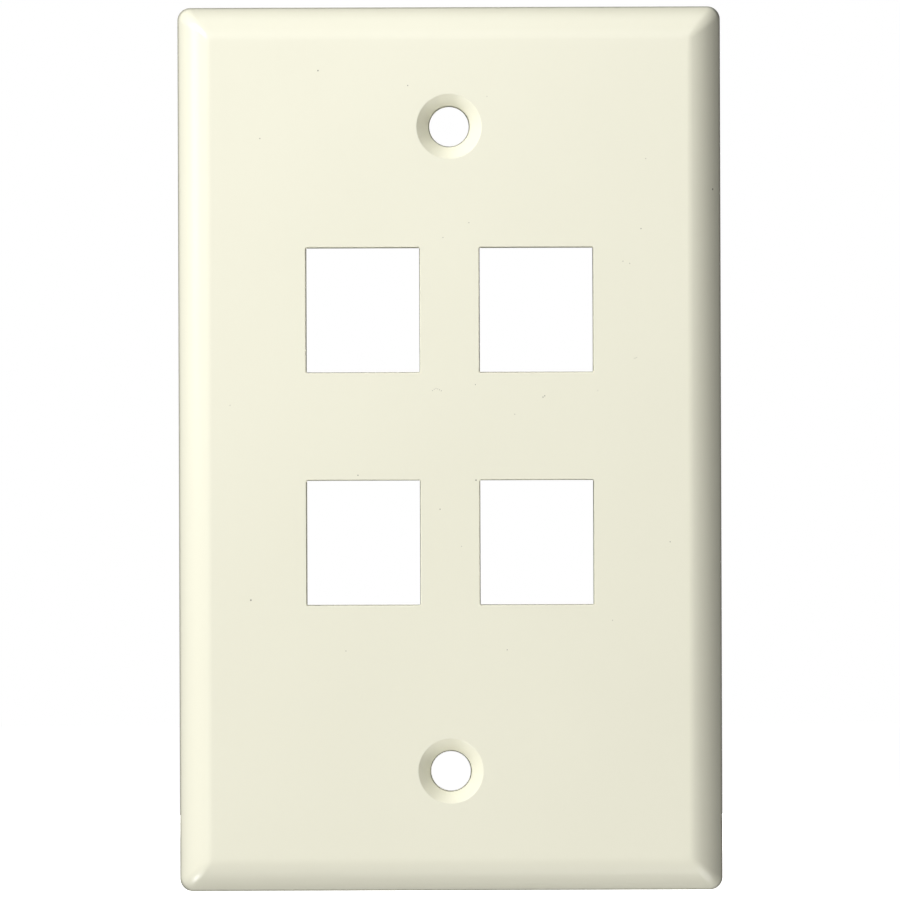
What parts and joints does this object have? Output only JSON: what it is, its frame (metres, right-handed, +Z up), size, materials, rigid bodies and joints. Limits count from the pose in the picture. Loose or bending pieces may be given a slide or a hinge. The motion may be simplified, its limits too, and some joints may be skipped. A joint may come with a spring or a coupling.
{
  "type": "keystone faceplate",
  "caption": "Ivory moulded wall plate for a one-gang box, with a grid of square keystone ports, countersunk screw holes and a curved bevel.",
  "frame": {"origin": "the plate's centre on the wall plane, halfway between the two screw holes", "axes": "+Z up, +X to the right seen from the room, +Y into the wall; the face looks to -Y"},
  "size_m": [0.0702, 0.0098, 0.1142],
  "materials": {
    "ivory_plastic": "moulded, semi-gloss, with a few dust specks"
  },
  "bodies": {
    "root": {"faceplate": "ivory_plastic"}
  },
  "joints": []
}
